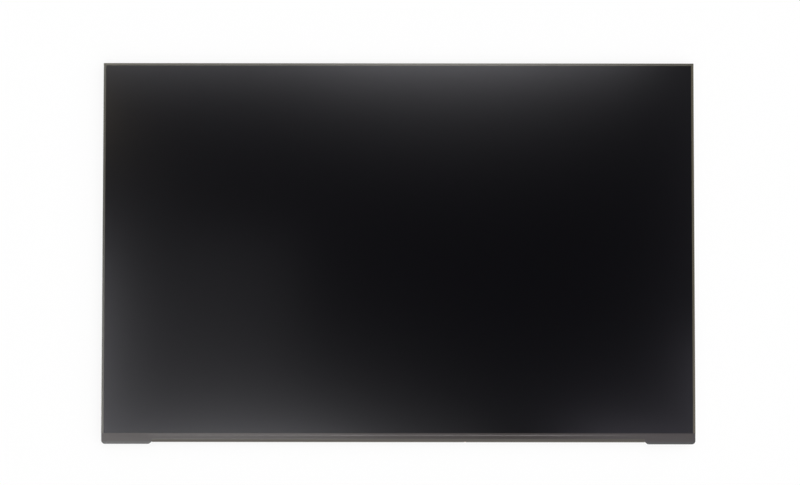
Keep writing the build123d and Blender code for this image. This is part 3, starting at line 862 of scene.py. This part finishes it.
class SCREENPANEL_OT_dress_cell(bpy.types.Operator):
    """Finish the liquid crystal cell: matte screen film, glass and rear film"""

    bl_idname = "screenpanel.dress_cell"
    bl_label = "Dress the cell"

    def execute(self, context):
        dress(("front_polariser",), matte_screen(context.scene.panel_screen))
        glass = dark_sheet("cell_glass", 1.52, GLASS_COLOUR, 2 * MM, 0.05, 0.09)
        film = dark_sheet("rear_film", 1.5, REAR_FILM_COLOUR, 1 * MM, 0.18, 0.24)
        dress(("colour_filter_glass", "array_glass"), glass)
        dress(("rear_polariser",), film)
        return {"FINISHED"}


class SCREENPANEL_OT_dress_backlight(bpy.types.Operator):
    """Finish the backlight: films, light guide, reflector and light bar"""

    bl_idname = "screenpanel.dress_backlight"
    bl_label = "Dress the backlight"

    def execute(self, context):
        tape = context.scene.panel_tape
        shield = plastic_tape("shield_tape", tape.strip_colour, tape.rim_roughness, tape.shield_gloss)
        dress(("shield_tape",), shield)
        dress(OPTICAL_FILMS, prism_sheet())
        dress(("light_guide",), clear_acrylic())
        dress(("reflector_film",), white_sheet("reflector_sheet", REFLECTOR_COLOUR))
        dress(("light_bar_flex",), white_sheet("flex_mask", FLEX_COLOUR))
        dress(("diodes",), white_sheet("diode_case", DIODE_COLOUR))
        return {"FINISHED"}


class SCREENPANEL_OT_add_diode_windows(bpy.types.Operator):
    """Cast the phosphor in the window of every diode"""

    bl_idname = "screenpanel.add_diode_windows"
    bl_label = "Add diode windows"

    def execute(self, context):
        board = context.scene.panel_board
        boxes = solid_boxes("diodes")
        low, high = boxes[0]
        size = (
            high.x - low.x - 2 * board.window_margin,
            board.window_depth,
            high.z - low.z - 2 * board.window_wall,
        )
        inset = board.window_recess + board.window_depth / 2
        points = [((a.x + b.x) / 2, b.y - inset, (a.z + b.z) / 2) for a, b in boxes]
        window = rounded_block(size, board.edge_radius)
        add_piece(repeated("diode_windows", window, points, phosphor()))
        return {"FINISHED"}


class SCREENPANEL_OT_dress_frame(bpy.types.Operator):
    """Finish the mould frame and the back plate"""

    bl_idname = "screenpanel.dress_frame"
    bl_label = "Dress the frame"

    def execute(self, context):
        settings = context.scene.panel_frame
        plastic = moulded_plastic("mould_frame", settings.frame_colour, settings.frame_roughness)
        metal = rolled_metal("back_plate", settings.plate_colour, settings.plate_roughness)
        dress(("mould_frame",), plastic)
        dress(("back_plate",), metal)
        return {"FINISHED"}


class SCREENPANEL_OT_add_cover_tape(bpy.types.Operator):
    """Drape the cover tape over the strip, the fold and the driver board"""

    bl_idname = "screenpanel.add_cover_tape"
    bl_label = "Add the cover tape"

    def execute(self, context):
        tape = context.scene.panel_tape
        mesh = cover_tape_sheet(tape)
        smooth(mesh)
        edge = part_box("array_glass")[0].y
        low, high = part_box("cover_tape")
        fold = Fold(
            tape.fold_colour,
            tape.crest_colour,
            tape.fold_roughness,
            edge + FOLD_BLEND,
            edge,
            # Where the painted highlight on the fold's outermost edge begins
            low.y + CREST_HIGHLIGHT_WIDTH,
            low.y,
            high.z - FOLD_DROP,
            high.z,
        )
        film = plastic_tape("cover_tape", tape.strip_colour, tape.strip_roughness, tape.strip_gloss, fold)
        mesh.materials.append(film)
        add_piece(mesh, ("cover_tape",))
        return {"FINISHED"}


class SCREENPANEL_OT_dress_edge_tapes(bpy.types.Operator):
    """Finish the tapes round the left, right and top edges"""

    bl_idname = "screenpanel.dress_edge_tapes"
    bl_label = "Dress the edge tapes"

    def execute(self, context):
        tape = context.scene.panel_tape
        # Each side's tape gets its own painted tone of the light on that side
        for name, base, gloss in (
            ("left_edge_tape", tape.left_colour, tape.side_gloss),
            ("right_edge_tape", tape.right_colour, tape.side_gloss),
            ("top_edge_tape", tape.top_colour, tape.top_gloss),
        ):
            dress((name,), plastic_tape(name, base, tape.rim_roughness, gloss))
        return {"FINISHED"}


class SCREENPANEL_OT_dress_board(bpy.types.Operator):
    """Finish the driver board, its chips and the driver films"""

    bl_idname = "screenpanel.dress_board"
    bl_label = "Dress the driver board"

    def execute(self, context):
        board = context.scene.panel_board
        dress(DRIVER_FILMS, traced_film(board.film_colour))
        dress(DRIVER_CHIPS, silicon_chip())
        dress(("driver_board",), solder_mask(board.mask_colour))
        dress(("board_adhesive",), white_sheet("board_adhesive", ADHESIVE_COLOUR))
        dress(BOARD_CHIPS, moulded_plastic("chip_epoxy", EPOXY_COLOUR, 0.5, 0.12 * MM))
        dress(("inductors",), moulded_plastic("ferrite", FERRITE_COLOUR, 0.6, 0.2 * MM))
        dress(("capacitors",), moulded_plastic("ceramic", CERAMIC_COLOUR, 0.4, 0.15 * MM))
        dress(("socket_housing",), moulded_plastic("socket_plastic", SOCKET_COLOUR, 0.45, 0.15 * MM))
        dress(("socket_shell",), rolled_metal("shell_steel", SHELL_COLOUR, 0.28))
        return {"FINISHED"}


class SCREENPANEL_OT_add_terminals(bpy.types.Operator):
    """Put a metal end on both ends of every capacitor"""

    bl_idname = "screenpanel.add_terminals"
    bl_label = "Add capacitor terminals"

    def execute(self, context):
        board = context.scene.panel_board
        boxes = solid_boxes("capacitors")
        low, high = boxes[0]
        skin = board.terminal_skin
        size = (board.terminal_length, high.y - low.y + 2 * skin, high.z - low.z + skin)
        inset = board.terminal_length / 2 - skin
        points = []
        for a, b in boxes:
            middle = ((a.y + b.y) / 2, (a.z + b.z - skin) / 2)
            points += [(a.x + inset, *middle), (b.x - inset, *middle)]
        terminal = rounded_block(size, board.edge_radius)
        tin = rolled_metal("terminal_tin", TERMINAL_COLOUR, 0.3, (1, 1, 1))
        add_piece(repeated("capacitor_terminals", terminal, points, tin))
        return {"FINISHED"}


class SCREENPANEL_OT_add_contacts(bpy.types.Operator):
    """Set the row of sprung contacts in the socket and solder their tails"""

    bl_idname = "screenpanel.add_contacts"
    bl_label = "Add the socket's contacts"

    def execute(self, context):
        board = context.scene.panel_board
        boxes = solid_boxes("socket_contacts")
        low, high = boxes[0]
        gold = rolled_metal("contact_gold", GOLD_COLOUR, 0.24, (1, 12, 1))
        corners = [(a.x, a.y, b.z) for a, b in boxes]
        springs = repeated("socket_contact_springs", contact_spring(board, low, high), corners, gold)
        add_piece(springs, ("socket_contacts",))
        tin = rolled_metal("solder_tin", SOLDER_COLOUR, 0.3, (1, 1, 1))
        tails = [((a.x + b.x) / 2, a.y + board.solder_length / 4, b.z) for a, b in boxes]
        add_piece(repeated("contact_solder", solder_drop(board), tails, tin))
        return {"FINISHED"}


def seen_plainly(nodes, links):
    """One for rays that show a thing as it is seen: directly, in a reflection or through glass."""
    path = nodes.new("ShaderNodeLightPath")
    seen = path.outputs["Is Camera Ray"]
    for kind in ("Is Glossy Ray", "Is Transmission Ray"):
        either = nodes.new("ShaderNodeMath")
        either.operation = "MAXIMUM"
        links.new(seen, either.inputs[0])
        links.new(path.outputs[kind], either.inputs[1])
        seen = either.outputs["Value"]
    return seen


def lay_floor(stage):
    """Pale table, a little brighter as it is seen than as it is lit, with the panel's shadow."""
    half = stage.floor_size / 2
    mesh = bpy.data.meshes.new("floor")
    corners = [(-half, -half, 0), (half, -half, 0), (half, half, 0), (-half, half, 0)]
    mesh.from_pydata(corners, [], [(0, 1, 2, 3)])
    material = bpy.data.materials.new("pale_table")
    material.use_nodes = True
    nodes, links = material.node_tree.nodes, material.node_tree.links
    nodes.remove(nodes["Principled BSDF"])
    lit = nodes.new("ShaderNodeBsdfDiffuse")
    lit.inputs["Color"].default_value = shade(stage.floor_colour, 1)
    glow = nodes.new("ShaderNodeEmission")
    mix = nodes.new("ShaderNodeMixShader")
    amount = nodes.new("ShaderNodeMath")
    amount.operation = "MULTIPLY"
    amount.inputs[1].default_value = stage.floor_glow
    links.new(seen_plainly(nodes, links), amount.inputs[0])
    links.new(amount.outputs["Value"], mix.inputs["Fac"])
    links.new(lit.outputs["BSDF"], mix.inputs[1])
    links.new(glow.outputs["Emission"], mix.inputs[2])
    links.new(mix.outputs["Shader"], nodes["Material Output"].inputs["Surface"])
    mesh.materials.append(material)
    floor = bpy.data.objects.new("floor", mesh)
    show(floor)


def light_room(stage):
    """Pale room round the table with a dark ceiling."""
    world = bpy.data.worlds.new("pale_room")
    bpy.context.scene.world = world
    world.use_nodes = True
    nodes, links = world.node_tree.nodes, world.node_tree.links
    split = nodes.new("ShaderNodeSeparateXYZ")
    links.new(nodes.new("ShaderNodeTexCoord").outputs["Generated"], split.inputs["Vector"])
    ramp = nodes.new("ShaderNodeMapRange")
    ramp.interpolation_type = "SMOOTHSTEP"
    links.new(split.outputs["Z"], ramp.inputs["Value"])
    ramp.inputs["From Min"].default_value = math.cos(stage.wall_angle)
    ramp.inputs["From Max"].default_value = math.cos(stage.ceiling_angle)
    ramp.inputs["To Max"].default_value = stage.ceiling_level
    lean = nodes.new("ShaderNodeMapRange")
    links.new(split.outputs["X"], lean.inputs["Value"])
    lean.inputs["From Min"].default_value = -1.0
    lean.inputs["To Min"].default_value = stage.room_level * (1 - stage.room_lean)
    lean.inputs["To Max"].default_value = stage.room_level * (1 + stage.room_lean)
    walls = nodes.new("ShaderNodeMapRange")
    links.new(seen_plainly(nodes, links), walls.inputs["Value"])
    links.new(lean.outputs["Result"], walls.inputs["To Min"])
    walls.inputs["To Max"].default_value = 1.0
    links.new(walls.outputs["Result"], ramp.inputs["To Min"])
    links.new(ramp.outputs["Result"], nodes["Background"].inputs["Strength"])
    nodes["Background"].inputs["Color"].default_value = (1, 1, 1, 1)


def hang_lamps(stage):
    """Soft bars over the table, which show in gloss alone."""
    low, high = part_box("front_polariser")
    middle, half = (low + high) / 2, (high - low) / 2
    # A lamp stands this much further out than its mirror image, as the camera sees it
    reach = 1 + (stage.lamp_height - high.z) / (stage.camera_place[2] - high.z)
    for bar in SOFT_BARS:
        across, along = bar.image
        width = 2 * reach * half.x * bar.half_size[0]
        depth = 2 * reach * half.y * bar.half_size[1]
        data = bpy.data.lights.new(bar.name, "AREA")
        data.shape = "RECTANGLE"
        data.size, data.size_y = width, depth
        data.energy = bar.level * math.pi * width * depth
        data.color = bar.tint
        lamp = bpy.data.objects.new(bar.name, data)
        lamp.location = (
            reach * (middle.x + half.x * across),
            reach * (middle.y + half.y * along),
            stage.lamp_height,
        )
        lamp.visible_camera = False
        lamp.visible_diffuse = False
        show(lamp)


def place_camera(stage):
    """Camera over the panel, looking almost straight down, with the screen's top at the top."""
    data = bpy.data.cameras.new("camera")
    data.lens = stage.camera_lens
    data.clip_start = CAMERA_CLIP
    start, target = Vector(stage.camera_place), Vector(stage.camera_target)
    ahead = (target - start).normalized()
    right = ahead.cross(Vector((0, 1, 0))).normalized()
    turn = Matrix.Rotation(stage.camera_roll, 3, -ahead)
    right = turn @ right
    up = right.cross(ahead)
    camera = bpy.data.objects.new("camera", data)
    camera.matrix_world = Matrix.Translation(start) @ Matrix((right, up, -ahead)).transposed().to_4x4()
    show(camera)
    bpy.context.scene.camera = camera


class SCREENPANEL_OT_set_stage(bpy.types.Operator):
    """Lay the pale table, light it and place the camera"""

    bl_idname = "screenpanel.set_stage"
    bl_label = "Set the stage"

    def execute(self, context):
        stage = context.scene.panel_stage
        lay_floor(stage)
        light_room(stage)
        hang_lamps(stage)
        place_camera(stage)
        context.scene.view_settings.view_transform = "Standard"
        return {"FINISHED"}


SETTINGS = (
    ("panel_screen", ScreenSettings),
    ("panel_tape", TapeSettings),
    ("panel_frame", FrameSettings),
    ("panel_board", BoardSettings),
    ("panel_stage", StageSettings),
)
OPERATORS = (
    SCREENPANEL_OT_dress_cell,
    SCREENPANEL_OT_dress_backlight,
    SCREENPANEL_OT_add_diode_windows,
    SCREENPANEL_OT_dress_frame,
    SCREENPANEL_OT_add_cover_tape,
    SCREENPANEL_OT_dress_edge_tapes,
    SCREENPANEL_OT_dress_board,
    SCREENPANEL_OT_add_terminals,
    SCREENPANEL_OT_add_contacts,
    SCREENPANEL_OT_set_stage,
)


class SCREENPANEL_PT_sidebar(bpy.types.Panel):
    """Sizes, colours and steps of the screen panel"""

    bl_label = "Screen panel"
    bl_space_type = "VIEW_3D"
    bl_region_type = "UI"
    bl_category = "Screen panel"

    def draw(self, context):
        for name, group in SETTINGS:
            box = self.layout.box()
            box.label(text=group.__doc__)
            for prop in group.__annotations__:
                box.prop(getattr(context.scene, name), prop)
        for operator in OPERATORS:
            self.layout.operator(operator.bl_idname)


def register():
    for name, group in SETTINGS:
        bpy.utils.register_class(group)
        setattr(bpy.types.Scene, name, bpy.props.PointerProperty(type=group))
    for operator in OPERATORS:
        bpy.utils.register_class(operator)
    bpy.utils.register_class(SCREENPANEL_PT_sidebar)


def unregister():
    bpy.utils.unregister_class(SCREENPANEL_PT_sidebar)
    for operator in reversed(OPERATORS):
        bpy.utils.unregister_class(operator)
    for name, group in reversed(SETTINGS):
        delattr(bpy.types.Scene, name)
        bpy.utils.unregister_class(group)


def main():
    register()
    bpy.ops.screenpanel.dress_cell()
    bpy.ops.screenpanel.dress_backlight()
    bpy.ops.screenpanel.add_diode_windows()
    bpy.ops.screenpanel.dress_frame()
    bpy.ops.screenpanel.add_cover_tape()
    bpy.ops.screenpanel.dress_edge_tapes()
    bpy.ops.screenpanel.dress_board()
    bpy.ops.screenpanel.add_terminals()
    bpy.ops.screenpanel.add_contacts()
    bpy.ops.screenpanel.set_stage()


if __name__ == "__main__":
    main()
